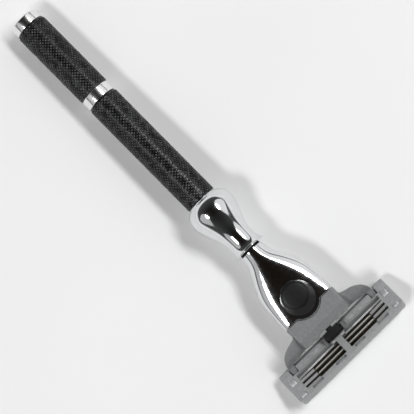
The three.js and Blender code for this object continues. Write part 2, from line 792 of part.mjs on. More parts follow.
// Lays the razor on its rear grip and its guard, and centres it over the origin.
function layDown(razor) {
  razor.updateMatrixWorld(true);
  const point = new THREE.Vector3();
  let slope = 0;
  razor.traverse((part) => {
    if (!part.isMesh) return;
    const points = part.geometry.attributes.position;
    for (let i = 0; i < points.count; i += 1) {
      point.fromBufferAttribute(points, i).applyMatrix4(part.matrixWorld);
      if (point.x > headFront) slope = Math.min(slope, (point.z + gripRadius) / (point.x - rearGripStart));
    }
  });
  razor.rotation.y = Math.atan(slope);
  razor.updateMatrixWorld(true);
  const box = new THREE.Box3().setFromObject(razor, true);
  const centre = box.getCenter(new THREE.Vector3());
  razor.position.set(-centre.x, -centre.y, -box.min.z);
}

const razor = new THREE.Group();
assembleHandle(razor);
assembleHead(razor);
assembleCartridge(razor);
layDown(razor);

export default razor;
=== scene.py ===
import json
import math

import bmesh
import bpy
import numpy as np
from mathutils import Matrix, Vector


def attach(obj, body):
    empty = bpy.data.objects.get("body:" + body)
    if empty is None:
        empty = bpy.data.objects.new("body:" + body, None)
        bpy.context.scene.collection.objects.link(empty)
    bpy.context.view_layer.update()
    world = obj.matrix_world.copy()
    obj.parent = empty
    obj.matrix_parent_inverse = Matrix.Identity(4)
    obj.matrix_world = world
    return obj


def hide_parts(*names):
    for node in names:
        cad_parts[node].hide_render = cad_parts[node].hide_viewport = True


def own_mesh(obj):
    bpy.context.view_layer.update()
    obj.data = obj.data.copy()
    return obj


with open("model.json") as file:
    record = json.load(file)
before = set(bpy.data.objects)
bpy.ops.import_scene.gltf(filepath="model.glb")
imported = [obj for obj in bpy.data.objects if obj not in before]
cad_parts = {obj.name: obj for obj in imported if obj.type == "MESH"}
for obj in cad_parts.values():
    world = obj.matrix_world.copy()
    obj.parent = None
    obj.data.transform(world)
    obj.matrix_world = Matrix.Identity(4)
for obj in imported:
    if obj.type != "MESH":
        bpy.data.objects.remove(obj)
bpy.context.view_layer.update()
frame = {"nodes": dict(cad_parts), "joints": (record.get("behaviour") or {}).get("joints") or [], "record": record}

# A cartridge razor. Pieces are drawn in millimetres in one of two local frames and then placed, in metres,
# in the row frame. HANDLE runs along the handle from its tail, with +Z on the button's side. CARTRIDGE has
# its origin on the pivot, with +X from guard to cap and +Z to the cartridge's open back.

MM = 0.001
# A point nearer to the axis than this counts as lying on it.
ON_AXIS = 1e-6
JOINTS = {joint["name"]: joint for joint in frame["joints"]}
TAIL = next(mount for mount in frame["record"]["mounts"] if mount["name"] == "tail_face")
ACROSS = Vector((0, 1, 0))


def local_frame(origin, x_axis):
    """The matrix from millimetres in a frame turned about Y to metres in the row frame."""
    x_axis = Vector(x_axis).normalized()
    turn = Matrix((x_axis, ACROSS, x_axis.cross(ACROSS))).transposed().to_4x4()
    return Matrix.Translation(origin) @ turn @ Matrix.Scale(MM, 4)


HANDLE = local_frame(TAIL["pos_m"], JOINTS["button_slide"]["axis"])
BLADE_FLOAT = Vector(JOINTS["blade_float_1"]["axis"])
CARTRIDGE = local_frame(JOINTS["cartridge_pivot"]["pos_m"], ACROSS.cross(BLADE_FLOAT))


def span(node, space=HANDLE):
    """Lowest and highest corner of a CAD node in a local frame, in millimetres."""
    back = space.inverted()
    points = np.array([back @ v.co for v in frame["nodes"][node].data.vertices])
    return Vector(points.min(0)), Vector(points.max(0))


# The bore that the tie rod runs through, in every piece of the handle.
ROD_BORE = span("tie_rod")[1].y + 0.1


# ---- Curves ----


def spline(knots, values):
    """A natural cubic spline through the values at the knots, as a function."""
    x, y = np.array(knots, float), np.array(values, float)
    step = np.diff(x)
    system, right = np.eye(len(x)), np.zeros(len(x))
    for i in range(1, len(x) - 1):
        system[i, i - 1 : i + 2] = step[i - 1], 2 * (step[i - 1] + step[i]), step[i]
        right[i] = 6 * ((y[i + 1] - y[i]) / step[i] - (y[i] - y[i - 1]) / step[i - 1])
    bend = np.linalg.solve(system, right)

    def at(t):
        i = int(np.clip(np.searchsorted(x, t) - 1, 0, len(x) - 2))
        h, before, after = step[i], x[i + 1] - t, t - x[i]
        cubic = (bend[i] * before**3 + bend[i + 1] * after**3) / (6 * h)
        return cubic + (y[i] / h - bend[i] * h / 6) * before + (y[i + 1] / h - bend[i + 1] * h / 6) * after

    return at


def smooth_curve(points, steps):
    """Points along one smooth curve through the given points."""
    points = np.array(points, float)
    chord = np.concatenate([[0], np.cumsum(np.linalg.norm(np.diff(points, axis=0), axis=1))])
    u, v = spline(chord, points[:, 0]), spline(chord, points[:, 1])
    return [(u(t), v(t)) for t in np.linspace(0, chord[-1], steps + 1)]


def rounded(points, radius, steps=4, closed=False):
    """An outline with its corners rounded off."""
    result = []
    for i, point in enumerate(points):
        if not closed and i in (0, len(points) - 1):
            result.append(tuple(point))
            continue
        corner = Vector(point)
        before = Vector(points[i - 1]) - corner
        after = Vector(points[(i + 1) % len(points)]) - corner
        reach = min(radius, 0.45 * before.length, 0.45 * after.length)
        start, end = corner + before.normalized() * reach, corner + after.normalized() * reach
        for k in range(steps + 1):
            t = k / steps
            result.append(tuple((1 - t) ** 2 * start + 2 * t * (1 - t) * corner + t**2 * end))
    return result


# ---- Meshes ----


def bridge(bm, first, second):
    """Joins two rings of corners, either of which may be a single point."""
    count = max(len(first), len(second))
    for i in range(count):
        j = (i + 1) % count
        near = [first[i % len(first)], first[j % len(first)]]
        far = [second[j % len(second)], second[i % len(second)]]
        bm.faces.new(list(dict.fromkeys(near + far)))


def body_of_rings(rings, closed):
    """A closed body through rings of points, each a list of (x, y, z)."""
    bm = bmesh.new()
    made = [[bm.verts.new(point) for point in ring] for ring in rings]
    for first, second in zip(made, made[1:]):
        bridge(bm, first, second)
    if closed:
        bridge(bm, made[-1], made[0])
    return bm


def turned(points, segments=144):
    """A body turned about X, from (x, radius) points that start and end on the axis or close."""
    angles = np.linspace(0, 2 * math.pi, segments, endpoint=False)
    rings = []
    for x, r in points:
        rings.append([(x, r * math.cos(a), r * math.sin(a)) for a in angles] if r > ON_AXIS else [(x, 0, 0)])
    return body_of_rings(rings, closed=points[0][1] > ON_AXIS)


def coil(start, end, centre, radius, wire, turns):
    """A coil spring along X with its two ends closed flat."""
    per_turn, sides = 24, 10
    flat_turns = 0.7
    rings = []
    for i in range(turns * per_turn + 1):
        t = i / (turns * per_turn)
        # The end turns lie nearly flat, as on a ground compression spring.
        along = np.clip((t * turns - flat_turns) / (turns - 2 * flat_turns), 0, 1)
        x = start + wire + (end - start - 2 * wire) * (0.06 * t + 0.94 * along)
        angle = 2 * math.pi * turns * t
        outward = Vector((0, math.cos(angle), math.sin(angle)))
        ring = []
        for k in range(sides):
            turn = 2 * math.pi * k / sides
            offset = outward * (radius + wire * math.cos(turn)) + Vector((wire * math.sin(turn), 0, 0))
            ring.append(tuple(offset + Vector((x, *centre))))
        rings.append(ring)
    middle = [tuple(sum((Vector(p) for p in ring), Vector()) / sides) for ring in (rings[0], rings[-1])]
    return body_of_rings([[middle[0]], *rings, [middle[1]]], closed=False)


def copy_of(node, space):
    """A CAD node's mesh in a local frame, with its split corners joined and its flat faces whole."""
    bm = bmesh.new()
    bm.from_mesh(frame["nodes"][node].data)
    bm.transform(space.inverted())
    bmesh.ops.remove_doubles(bm, verts=bm.verts, dist=1e-4)
    bmesh.ops.dissolve_limit(bm, angle_limit=math.radians(1), verts=bm.verts, edges=bm.edges)
    return bm


def edges_rounded(bm, width, segments=2, sharper_than=30):
    """Rounds the sharp edges of a body."""
    limit = math.radians(sharper_than)
    sharp = [e for e in bm.edges if e.is_manifold and e.calc_face_angle(0) > limit]
    bmesh.ops.bevel(
        bm, geom=sharp, offset=width, segments=segments, profile=0.5, affect="EDGES", clamp_overlap=True
    )
    return bm


def mesh_of(bm, name="work"):
    bmesh.ops.recalc_face_normals(bm, faces=bm.faces)
    mesh = bpy.data.meshes.new(name)
    bm.to_mesh(mesh)
    bm.free()
    return mesh


def with_modifiers(mesh, *recipes):
    """The mesh after some Blender modifiers, each given as its type and its settings."""
    work = bpy.data.objects.new("work", mesh)
    bpy.context.scene.collection.objects.link(work)
    for kind, settings in recipes:
        modifier = work.modifiers.new(kind, kind)
        for key, value in settings.items():
            setattr(modifier, key, value)
    graph = bpy.context.evaluated_depsgraph_get()
    result = bpy.data.meshes.new_from_object(work.evaluated_get(graph))
    bpy.data.objects.remove(work)
    return result


def combined(mesh, tool, operation):
    """The mesh joined with a tool body, or cut by it."""
    other = bpy.data.objects.new("tool", tool)
    bpy.context.scene.collection.objects.link(other)
    result = with_modifiers(mesh, ("BOOLEAN", {"operation": operation, "object": other, "solver": "EXACT"}))
    bpy.data.objects.remove(other)
    return result


def block(x0, x1, y0, y1, z0, z1, bevel=0.0):
    bm = bmesh.new()
    bmesh.ops.create_cube(bm, size=1)
    size = Matrix.Diagonal((x1 - x0, y1 - y0, z1 - z0, 1))
    bm.transform(Matrix.Translation(((x0 + x1) / 2, (y0 + y1) / 2, (z0 + z1) / 2)) @ size)
    if bevel:
        edges_rounded(bm, bevel)
    return bm


def moulded(mesh, voxel, rounds, keep):
    """The body as one skin with all its edges softened, as on a moulding."""
    return with_modifiers(
        mesh,
        ("REMESH", {"mode": "VOXEL", "voxel_size": voxel}),
        ("SMOOTH", {"factor": 0.5, "iterations": rounds}),
        ("DECIMATE", {"ratio": keep}),
    )


def add_piece(name, mesh, space, body, slot, *nodes, sharp=35):
    """Puts a finished mesh in its place, with its slot's material, and hides the CAD nodes it stands for."""
    mesh.name = name
    mesh.transform(space)
    mesh.shade_smooth()
    mesh.set_sharp_from_angle(angle=math.radians(sharp))
    mesh.materials.clear()
    mesh.materials.append(MATERIALS[slot])
    piece = bpy.data.objects.new(name, mesh)
    bpy.context.scene.collection.objects.link(piece)
    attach(piece, body)
    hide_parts(*nodes)
    return piece


# ---- Materials ----


class Finish:
    """One procedural material: a Principled shader whose colour, roughness and relief come from noise.

    Patterns are laid out in millimetres on each piece's own coordinates.
    """

    def __init__(self, name, metallic=0.0, **sockets):
        self.material = bpy.data.materials.new(name)
        self.material.use_nodes = True
        self.tree = self.material.node_tree
        self.shader = self.tree.nodes["Principled BSDF"]
        self.shader.inputs["Metallic"].default_value = metallic
        for socket, value in sockets.items():
            self.shader.inputs[socket.replace("_", " ")].default_value = value
        coordinates = self.tree.nodes.new("ShaderNodeTexCoord")
        scale = self.node("ShaderNodeVectorMath", operation="SCALE")
        self.link(coordinates.outputs["Object"], scale.inputs["Vector"])
        scale.inputs["Scale"].default_value = 1 / MM
        self.place = scale.outputs["Vector"]

    def node(self, kind, **settings):
        made = self.tree.nodes.new(kind)
        for key, value in settings.items():
            setattr(made, key, value)
        return made

    def link(self, source, target):
        self.tree.links.new(source, target)

    def noise(self, scale, detail=3.0, roughness=0.55):
        made = self.node("ShaderNodeTexNoise")
        self.link(self.place, made.inputs["Vector"])
        made.inputs["Scale"].default_value = scale
        made.inputs["Detail"].default_value = detail
        made.inputs["Roughness"].default_value = roughness
        return made.outputs["Fac"]

    def lines(self, axis, per_mm):
        """Noise that changes only along one axis, as the marks of a cutting tool or a brush do."""
        along = self.node("ShaderNodeVectorMath", operation="DOT_PRODUCT")
        self.link(self.place, along.inputs[0])
        along.inputs[1].default_value = axis
        made = self.node("ShaderNodeTexNoise", noise_dimensions="1D")
        self.link(along.outputs["Value"], made.inputs["W"])
        made.inputs["Scale"].default_value = per_mm
        made.inputs["Detail"].default_value = 2
        return made.outputs["Fac"]

    def attribute(self, name):
        return self.node("ShaderNodeAttribute", attribute_name=name).outputs["Fac"]

    def product(self, first, second):
        made = self.node("ShaderNodeMath", operation="MULTIPLY")
        self.link(first, made.inputs[0])
        self.link(second, made.inputs[1])
        return made.outputs[0]

    def colour(self, pattern, low, high, start=0.3, end=0.7):
        ramp = self.node("ShaderNodeValToRGB")
        ramp.color_ramp.elements[0].position = start
        ramp.color_ramp.elements[1].position = end
        ramp.color_ramp.elements[0].color = (*low, 1)
        ramp.color_ramp.elements[1].color = (*high, 1)
        self.link(pattern, ramp.inputs["Fac"])
        self.link(ramp.outputs["Color"], self.shader.inputs["Base Color"])
        return self

    def gloss(self, pattern, low, high):
        spread = self.node("ShaderNodeMapRange")
        spread.inputs["From Min"].default_value = 0.3
        spread.inputs["From Max"].default_value = 0.7
        spread.inputs["To Min"].default_value = low
        spread.inputs["To Max"].default_value = high
        self.link(pattern, spread.inputs["Value"])
        self.link(spread.outputs["Result"], self.shader.inputs["Roughness"])
        return self

    def relief(self, pattern, depth, strength=1.0):
        """Adds bumps of that depth, in millimetres, on top of any relief there already."""
        bump = self.node("ShaderNodeBump")
        bump.inputs["Strength"].default_value = strength
        bump.inputs["Distance"].default_value = depth * MM
        self.link(pattern, bump.inputs["Height"])
        normal = self.shader.inputs["Normal"]
        if normal.is_linked:
            self.link(normal.links[0].from_socket, bump.inputs["Normal"])
        self.link(bump.outputs["Normal"], normal)
        return self


def grey(value, warm=0.0):
    return (value * (1 + warm), value, value * (1 - warm))


HANDLE_AXIS = tuple(JOINTS["button_slide"]["axis"])
ACROSS_BLADES = tuple(ACROSS.cross(BLADE_FLOAT))


def polished_aluminium():
    made = Finish("polished_aluminium", metallic=1.0)
    turning = made.lines(HANDLE_AXIS, 14)
    made.colour(turning, grey(0.78), grey(0.9))
    made.gloss(made.noise(0.5), 0.15, 0.21)
    made.relief(turning, 0.004)
    return made.material


def knurled_black():
    made = Finish("knurled_black", Specular_IOR_Level=0.55)
    wear = made.product(made.attribute("peak"), made.noise(0.7, 1))
    made.colour(wear, grey(0.0015), grey(0.17, -0.02), 0.22, 0.6)
    made.gloss(made.noise(2.5), 0.2, 0.32)
    made.relief(made.noise(9), 0.01)
    return made.material


def chrome():
    made = Finish("chrome", metallic=1.0)
    made.colour(made.noise(0.35), grey(0.72, -0.012), grey(0.78, -0.012))
    made.gloss(made.noise(0.8, 5), 0.06, 0.11)
    made.relief(made.noise(0.22, 1), 0.012, 0.25)
    return made.material


def machined_steel(name, low, high, rough, axis, warm=0.0):
    made = Finish(name, metallic=1.0)
    marks = made.lines(axis, 9)
    made.colour(marks, grey(low, warm), grey(high, warm))
    made.gloss(made.noise(1.2), rough - 0.05, rough + 0.08)
    made.relief(marks, 0.006)
    return made.material


def support_steel():
    """Bent strip: brown painted shade low down, and a painted highlight along the top edge of each leg."""
    made = Finish("support_steel", metallic=0.55)
    # Painted light: the leg tops are coloured light as a highlight, and the lower strip dark brown as shade.
    painted_highlight = made.product(made.attribute("painted_highlight"), made.lines(ACROSS_BLADES, 2))
    made.colour(painted_highlight, (0.13, 0.11, 0.075), (0.8, 0.79, 0.76), 0.2, 0.45)
    made.gloss(made.noise(1.2), 0.32, 0.45)
    made.relief(made.noise(3), 0.004)
    return made.material


def clip_aluminium():
    made = Finish("clip_aluminium", metallic=1.0)
    made.colour(made.noise(1.2, 4), grey(0.7, -0.02), grey(0.9, -0.02))
    made.gloss(made.noise(2), 0.42, 0.58)
    made.relief(made.noise(1.5), 0.02)
    return made.material


def plastic(name, value, rough, grain, warm=0.0, shine=0.5):
    """Moulded plastic or rubber with an even spark-eroded grain and faint flow marks."""
    made = Finish(name, Specular_IOR_Level=shine)
    made.colour(made.noise(1.1, 6, 0.75), grey(value * 0.78, warm), grey(value * 1.12, warm))
    made.gloss(made.noise(1.5, 4), rough - 0.06, rough + 0.06)
    made.relief(made.noise(grain, 4), 0.012, 0.6)
    return made.material


def strip_polymer():
    made = Finish("strip_polymer", Subsurface_Weight=0.15, Subsurface_Scale=0.5 * MM)
    made.colour(made.noise(3.5, 5), (0.25, 0.46, 0.38), (0.5, 0.68, 0.6))
    made.gloss(made.noise(2, 4), 0.45, 0.65)
    made.relief(made.noise(5, 4), 0.03)
    return made.material


MATERIALS = {
    "polished_aluminium": polished_aluminium(),
    "knurled_black": knurled_black(),
    "chrome": chrome(),
    "rod_steel": machined_steel("rod_steel", 0.4, 0.5, 0.32, HANDLE_AXIS),
    "spring_steel": machined_steel("spring_steel", 0.45, 0.55, 0.25, HANDLE_AXIS),
    "gasket_rubber": plastic("gasket_rubber", 0.006, 0.7, 8, shine=0.15),
    "black_plastic": plastic("black_plastic", 0.006, 0.6, 10, shine=0.2),
    "button_plastic": plastic("button_plastic", 0.005, 0.45, 12, -0.03, 0.3),
    "yoke_plastic": plastic("yoke_plastic", 0.225, 0.45, 14, -0.015),
    "housing_plastic": plastic("housing_plastic", 0.34, 0.38, 6, -0.012),
    "support_steel": support_steel(),
    "blade_steel": machined_steel("blade_steel", 0.1, 0.16, 0.34, ACROSS_BLADES, 0.03),
    "clip_aluminium": clip_aluminium(),
    "strip_polymer": strip_polymer(),
    "fin_rubber": plastic("fin_rubber", 0.03, 0.6, 9, -0.08),
}


# ---- Handle ----


def end_cap():
    (tail, _, _), (front, radius, _) = span("end_cap")
    ring = 0.62 * radius
    outline = rounded(
        [
            (tail, 0),
            (tail, ring),
            (tail + 0.12, ring + 0.1),
            (tail, ring + 0.2),
            (tail, radius - 0.35),
            (tail + 0.35, radius),
            (front, radius),
            (front, ROD_BORE),
            (tail + 1, ROD_BORE),
            (tail + 1, 0),
        ],
        0.12,
    )
    mesh = mesh_of(turned(outline))
    add_piece("end_cap_polished", mesh, HANDLE, "handle", "polished_aluminium", "end_cap")


def middle_ring():
    (start, _, _), (end, radius, _) = span("middle_ring")
    edge = 0.12
    outline = [(start, ROD_BORE), (start, radius - edge), (start + edge, radius)]
    outline += [(end - edge, radius), (end, radius - edge), (end, ROD_BORE)]
    outline = rounded(outline, 0.1, closed=True)
    mesh = mesh_of(turned(outline))
    add_piece("middle_ring_polished", mesh, HANDLE, "handle", "polished_aluminium", "middle_ring")


def knurled_grip(node):
    """A sleeve with a real diamond knurl: two crossing sets of helical grooves leave rows of pyramids.

    The "peak" attribute is 1 on the pyramids' flat tops and 0 in the grooves, for the wear in the material.
    """
    (start, _, _), (end, radius, _) = span(node)
    around, depth, fine = 28, 0.36, 6
    border, flat = 0.22, 0.86
    fade_length = 0.25
    sleeve = radius - depth - 0.08
    pitch = 2 * math.pi * radius / around
    rows = max(1, round((end - start - 2 * border) / pitch * fine))
    columns = around * fine

    def groove(value):
        return 1 - abs(2 * (value % 1) - 1)

    def peak(u, v):
        return min(groove(u + v), groove(u - v), flat) / flat

    rings, heights = [], []
    for i in range(rows + 1):
        x = start + border + (end - start - 2 * border) * i / rows
        near_end = min(x - start, end - x) - border
        fade = min(1, near_end / fade_length)
        row = [peak(j / fine, i / fine) * fade for j in range(columns)]
        heights.append(row)
        ring = []
        for j, height in enumerate(row):
            reach = radius - depth * (1 - height)
            angle = 2 * math.pi * j / columns
            ring.append((x, reach * math.cos(angle), reach * math.sin(angle)))
        rings.append(ring)
    plain = []
    for x, reach in ((end, sleeve), (end, ROD_BORE), (start, ROD_BORE), (start, sleeve)):
        angles = np.linspace(0, 2 * math.pi, columns, endpoint=False)
        plain.append([(x, reach * math.cos(a), reach * math.sin(a)) for a in angles])
    mesh = mesh_of(body_of_rings(rings + plain, closed=True))
    values = np.concatenate([np.array(heights).ravel(), np.zeros(len(plain) * columns)])
    mesh.attributes.new("peak", "FLOAT", "POINT").data.foreach_set("value", values.astype(np.float32))
    add_piece(node + "_knurled", mesh, HANDLE, "handle", "knurled_black", node, sharp=18)


def ferrule():
    (start, _, _), (end, bulb, _) = span("ferrule")
    grip = span("front_grip")[1].y
    flange = 5.3
    rod_depth = 8.7
    stud_bore, stud_depth = 2.3, 7.3
    # How far along the ferrule, as a share of its length, and the radius there.
    shape = [
        (0.03, 5.86),
        (0.07, 6.5),
        (0.14, 7.16),
        (0.23, bulb),
        (0.36, 6.97),
        (0.51, 5.85),
        (0.66, 4.78),
        (0.83, 4.35),
        (0.93, 4.62),
        (0.972, 5.02),
    ]
    length = end - start
    wall = smooth_curve([(start + share * length, r) for share, r in shape], 90)
    # The smooth curve may not swell past the widest point of the CAD piece.
    wall = [(x, min(r, bulb - 0.02)) for x, r in wall]
    rim = [(end - 0.4, flange - 0.06), (end - 0.32, flange), (end - 0.06, flange), (end, flange - 0.06)]
    outline = [
        (start + rod_depth, 0),
        (start + rod_depth, ROD_BORE),
        (start, ROD_BORE),
        (start, grip + 0.1),
        (start + 0.06, grip + 0.2),
        (start + 0.28, grip + 0.3),
        *wall,
        *rim,
        (end, stud_bore),
        (end - stud_depth, stud_bore),
        (end - stud_depth, 0),
    ]
    mesh = mesh_of(turned(outline, 192))
    add_piece("ferrule_chrome", mesh, HANDLE, "handle", "chrome", "ferrule", sharp=40)


def plain_inner_pieces():
    """The pieces inside the handle and head, with their edges broken."""
    for node, body, slot, width in (
        ("tie_rod", "handle", "rod_steel", 0.2),
        ("neck_gasket", "handle", "gasket_rubber", 0.15),
        ("connector_nose", "handle", "black_plastic", 0.12),
        ("nose_screw", "handle", "rod_steel", 0.06),
        ("ejector_fork", "ejector", "black_plastic", 0.12),
        ("plunger", "plunger", "black_plastic", 0.15),
    ):
        mesh = mesh_of(edges_rounded(copy_of(node, HANDLE), width))
        add_piece(node + "_finished", mesh, HANDLE, body, slot, node)


def springs():
    for node, joint, wire, turns, travel in (
        ("button_spring_left", "button_slide", 0.13, 8, 2.5),
        ("button_spring_right", "button_slide", 0.13, 8, 2.5),
        ("plunger_spring", "plunger_slide", 0.15, 6, 1.7),
    ):
        low, high = span(node)
        centre = ((low.y + high.y) / 2, (low.z + high.z) / 2)
        radius = (high.y - low.y) / 2 - wire
        mesh = mesh_of(coil(low.x, high.x, centre, radius, wire, turns))
        piece = add_piece(node + "_coil", mesh, HANDLE, "handle", "spring_steel", node)
        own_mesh(piece)


# ---- Head ----

# SEAM is the gap between shell and gasket. The head's half width, and its heights above and below the axis,
# are curves over the distance from HEAD_START.
SEAM = 0.05
HEAD_START = span("neck_gasket")[1].x + SEAM
HEAD_FRONT = span("yoke")[0].x - 0.15
TONGUE_RADIUS = 5.9
TONGUE_FLOOR = 0.7
TONGUE_CENTRE = span("head_shell")[1].x - TONGUE_RADIUS
NECK = 3.8
WALL = 0.9
head_width = spline([0, 3.3, 5.4, 9.1, 12.5, 16.8, 26], [NECK, 4.5, 5.6, 7.4, 8.5, 9, 9.15])
head_top = spline([0, 5, 10, 16, 26], [NECK, 3.9, 3.6, 2.8, 1.5])
head_bottom = spline([0, 5, 10, 16, 26], [NECK, 4.2, 4.65, 4.95, 4.9])


def squareness(x):
    """The power of the head's section: an ellipse at the neck that grows squarer to the front."""
    return 2 + 0.7 * (x - HEAD_START) / (HEAD_FRONT - HEAD_START)


def head_section(x, angle, inset):
    power = squareness(x)
    c, s = math.cos(angle), math.sin(angle)
    height = head_top(x - HEAD_START) if s > 0 else head_bottom(x - HEAD_START)
    y = (head_width(x - HEAD_START) - inset) * math.copysign(abs(c) ** (2 / power), c)
    z = (height - inset) * math.copysign(abs(s) ** (2 / power), s)
    return y, z


def shell_top(x, y):
    """Height of the shell's outside at a point seen from above."""
    power = squareness(x)
    share = min(1, abs(y) / head_width(x - HEAD_START))
    return head_top(x - HEAD_START) * (1 - share**power) ** (1 / power)


def front_edge(y, z):
    """Where the shell ends: straight across, with a round tongue in the middle of its top."""
    if z <= TONGUE_FLOOR or abs(y) >= TONGUE_RADIUS:
        return HEAD_FRONT
    return max(HEAD_FRONT, TONGUE_CENTRE + math.sqrt(TONGUE_RADIUS**2 - y**2))


def shell_ring(x, inset, share=0.0, back=0.0, count=120):
    """One ring of the shell's wall. share draws the ring out to the front edge, less back."""
    ring = []
    for k in range(count):
        angle = 2 * math.pi * (k + 0.5) / count
        y, z = head_section(HEAD_FRONT, angle, inset)
        reach = x + (front_edge(y, z) - back - x) * share
        ring.append((reach, *head_section(reach, angle, inset)))
    return ring


def head_shell():
    cavity_start = HEAD_START + 7.5
    stud = 2.2
    stud_start = span("head_shell")[0].x
    last = HEAD_FRONT - 3.6
    count = 120
    angles = [2 * math.pi * (k + 0.5) / count for k in range(count)]

    def circle(x, r):
        return [(x, r * math.cos(a), r * math.sin(a)) for a in angles]

    rings = [[(stud_start, 0, 0)], circle(stud_start, stud - 0.3), circle(stud_start + 0.3, stud)]
    # A thin collar reaches back over the gasket.
    collar = HEAD_START - 0.5
    lip = span("neck_gasket")[1].y + SEAM
    rings += [circle(HEAD_START, stud), circle(HEAD_START, lip), circle(collar, lip)]
    rings += [circle(collar, NECK - 0.1), circle(collar + 0.08, NECK), shell_ring(HEAD_START + 0.1, 0)]
    rings += [shell_ring(x, 0) for x in np.linspace(HEAD_START + 0.35, last, 56)]
    rings += [shell_ring(last, 0, share) for share in (0.25, 0.5, 0.75)]
    edge = 0.14
    for inset, back in ((0, edge), (edge * 0.3, edge * 0.3), (edge, 0), (WALL - edge, 0), (WALL, edge)):
        rings.append(shell_ring(last, inset, 1, back))
    rings += [shell_ring(last, WALL, share) for share in (0.6, 0.3)]
    rings += [shell_ring(x, WALL) for x in np.linspace(last, cavity_start, 24)]
    rings.append([(cavity_start, 0, 0)])
    mesh = mesh_of(body_of_rings(rings, closed=False))
    # The slot under the button, in which its stem slides.
    slot_half, slot_length, clear = 1.7, 5.3, 9
    slot_start = HEAD_FRONT - 6.7
    slot = mesh_of(block(slot_start, slot_start + slot_length, -slot_half, slot_half, 0, clear))
    mesh = combined(mesh, slot, "DIFFERENCE")
    screw = span("nose_screw")
    centre = (screw[0] + screw[1]) / 2
    # The screw's hole, and the wider sink for its head, each from its top down to clear of the shell.
    for radius, top in ((0.95, -2), (1.65, -4.3)):
        size = {"radius1": radius, "radius2": radius, "depth": clear + top}
        hole = bmesh.new()
        bmesh.ops.create_cone(hole, cap_ends=True, segments=48, **size)
        hole.transform(Matrix.Translation((centre.x, 0, (top - clear) / 2)))
        mesh = combined(mesh, mesh_of(hole), "DIFFERENCE")
    add_piece("head_shell_chrome", mesh, HANDLE, "handle", "chrome", "head_shell", sharp=40)


def release_button():
    """A leaning round button with a raised rim and a dished top, standing on the shell."""
    foot_x, foot_radius, foot_z = HEAD_FRONT - 4.2, 5.2, 1.6
    top_x, top_radius, top_z = HEAD_FRONT - 5.2, 4.2, span("release_button")[1].z
    lean = (top_x - foot_x) / (top_z - foot_z)
    under = [(r, foot_z) for r in np.linspace(0, foot_radius - 0.12, 12)]
    side = [
        (foot_radius, foot_z + 0.12),
        (foot_radius - 0.06, foot_z + 0.6),
        (top_radius + 0.12, top_z - 0.4),
    ]
    rim = [
        (top_radius + 0.02, top_z - 0.12),
        (top_radius - 0.15, top_z),
        (top_radius - 0.42, top_z - 0.02),
        (top_radius - 0.6, top_z - 0.2),
        (top_radius - 0.95, top_z - 0.3),
    ]
    dish = [(top_radius * 0.5, top_z - 0.44), (top_radius * 0.2, top_z - 0.5), (0, top_z - 0.5)]
    outline = under + rounded([under[-1], *side, *rim, dish[0]], 0.12, 4)[1:-1] + dish
    above_shell = 0.12
    bm = bmesh.new()
    made = []
    for r, z in outline:
        ring = []
        for a in np.linspace(0, 2 * math.pi, 96, endpoint=False) if r > ON_AXIS else [0]:
            x, y = foot_x + r * math.cos(a) + lean * (z - foot_z), r * math.sin(a)
            ring.append(bm.verts.new((x, y, max(z, shell_top(x, y) + above_shell))))
        made.append(ring)
    for first, second in zip(made, made[1:]):
        bridge(bm, first, second)
    mesh = mesh_of(bm)
    stem_half = 1.5
    stem = block(HEAD_FRONT - 6.5, HEAD_FRONT - 4.1, -stem_half, stem_half, -0.4, foot_z + 2.2, 0.1)
    mesh = combined(mesh, mesh_of(stem), "UNION")
    slot = "button_plastic"
    add_piece("release_button_finished", mesh, HANDLE, "ejector", slot, "release_button", sharp=50)


def yoke():
    """The fork, with room kept for the insert's square front corners at the end of its passage."""
    mesh = moulded(mesh_of(copy_of("yoke", HANDLE)), voxel=0.14, rounds=8, keep=0.35)
    insert_end = span("connector_nose")[1].x
    insert_half_width, insert_top, room = 3.9, -0.5, 0.09
    side, low, high = insert_half_width + room, insert_top - 0.4, insert_top + room
    corners = block(insert_end - 0.5, insert_end + room, -side, side, low, high)
    mesh = combined(mesh, mesh_of(corners), "DIFFERENCE")
    add_piece("yoke_moulded", mesh, HANDLE, "yoke", "yoke_plastic", "yoke", sharp=180)


# ---- Cartridge ----


def housing():
    """The frame, with rinse slots wider and deeper than the CAD's and a groove along the guard bar."""
    mesh = mesh_of(edges_rounded(copy_of("cartridge_housing", CARTRIDGE), 0.09))
    back = span("cartridge_housing", CARTRIDGE)[1].z - 0.2
    cap_front = span("cartridge_housing", CARTRIDGE)[1].x
    width, wall, depth, clear = 0.78, 0.34, 1.25, 2
    front = cap_front - wall
    for y0, y1 in ((1.8, 5.8), (11, 15.2)):
        for low, high in ((y0, y1), (-y1, -y0)):
            cutter = block(front - width, front, low, high, back - depth, back + clear, 0.05)
            mesh = combined(mesh, mesh_of(cutter), "DIFFERENCE")
    groove_rear, groove_front, groove_depth = 1.42, 1.62, 0.3
    for low, high in ((3.5, 16), (-16, -3.5)):
        floor_z = back - groove_depth
        cutter = block(groove_rear, groove_front, low, high, floor_z, back + clear, 0.03)
        mesh = combined(mesh, mesh_of(cutter), "DIFFERENCE")
    add_piece("housing_moulded", mesh, CARTRIDGE, "cartridge", "housing_plastic", "cartridge_housing")


